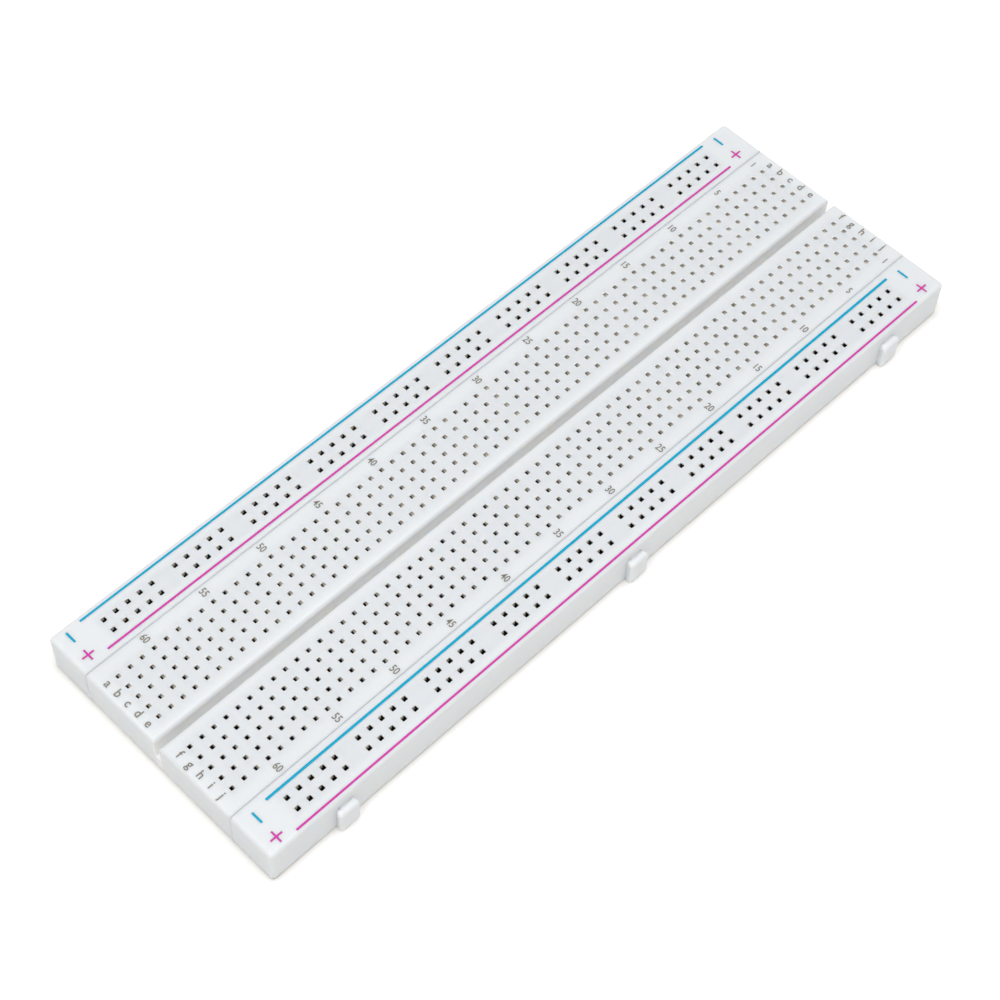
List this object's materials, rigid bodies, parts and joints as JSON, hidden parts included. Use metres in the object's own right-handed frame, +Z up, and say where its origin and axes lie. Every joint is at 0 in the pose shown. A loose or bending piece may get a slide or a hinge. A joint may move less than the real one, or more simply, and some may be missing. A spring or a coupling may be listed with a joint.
{
  "type": "solderless breadboard",
  "caption": "Full-size solderless breadboard: a terminal strip with a centre channel between two power rail strips, joined by dovetail tabs, with spring contacts under square holes.",
  "frame": {"origin": "on the plane the board rests on, under the middle of the hole grid, between rows e and f at column 32", "axes": "+X from column 1 to column 63, +Y from row a to row j towards the outer tabs, +Z up out of the holes"},
  "size_m": [0.165, 0.056, 0.0085],
  "materials": {
    "housing_abs": "white moulded ABS with a fine satin surface, slightly translucent in its thin walls",
    "contact_metal": "nickel-plated phosphor bronze spring sheet, satin from rolling",
    "foam": "double-sided closed-cell foam tape, matt",
    "liner_paper": "waxed yellowish release paper",
    "ink_blue": "screen-printed cyan-blue ink",
    "ink_magenta": "screen-printed magenta ink",
    "ink_grey": "screen-printed grey-brown ink"
  },
  "bodies": {
    "a_side_rail": {"a_side_minus_bus_bar": "contact_metal", "a_side_plus_bus_bar": "contact_metal", "a_side_rail_foam_pad": "foam", "a_side_rail_housing": "housing_abs", "a_side_rail_release_liner": "liner_paper"},
    "terminal_strip": {"clips_a_to_e_cols_01_05": "contact_metal", "clips_a_to_e_cols_06_10": "contact_metal", "clips_a_to_e_cols_11_15": "contact_metal", "clips_a_to_e_cols_16_20": "contact_metal", "clips_a_to_e_cols_21_25": "contact_metal", "clips_a_to_e_cols_26_30": "contact_metal", "clips_a_to_e_cols_31_35": "contact_metal", "clips_a_to_e_cols_36_40": "contact_metal", "clips_a_to_e_cols_41_45": "contact_metal", "clips_a_to_e_cols_46_50": "contact_metal", "clips_a_to_e_cols_51_55": "contact_metal", "clips_a_to_e_cols_56_60": "contact_metal", "clips_a_to_e_cols_61_63": "contact_metal", "clips_f_to_j_cols_01_05": "contact_metal", "clips_f_to_j_cols_06_10": "contact_metal", "clips_f_to_j_cols_11_15": "contact_metal", "clips_f_to_j_cols_16_20": "contact_metal", "clips_f_to_j_cols_21_25": "contact_metal", "clips_f_to_j_cols_26_30": "contact_metal", "clips_f_to_j_cols_31_35": "contact_metal", "clips_f_to_j_cols_36_40": "contact_metal", "clips_f_to_j_cols_41_45": "contact_metal", "clips_f_to_j_cols_46_50": "contact_metal", "clips_f_to_j_cols_51_55": "contact_metal", "clips_f_to_j_cols_56_60": "contact_metal", "clips_f_to_j_cols_61_63": "contact_metal", "terminal_strip_foam_pad": "foam", "terminal_strip_housing": "housing_abs", "terminal_strip_release_liner": "liner_paper"},
    "j_side_rail": {"j_side_minus_bus_bar": "contact_metal", "j_side_plus_bus_bar": "contact_metal", "j_side_rail_foam_pad": "foam", "j_side_rail_housing": "housing_abs", "j_side_rail_release_liner": "liner_paper"}
  },
  "joints": [
    {"name": "terminal_strip_lift", "type": "slide", "parent": "a_side_rail", "child": "terminal_strip", "axis": [0, 0, 1], "range_m": [0, 0.012]},
    {"name": "j_side_rail_lift", "type": "slide", "parent": "terminal_strip", "child": "j_side_rail", "axis": [0, 0, 1], "range_m": [0, 0.012]}
  ]
}
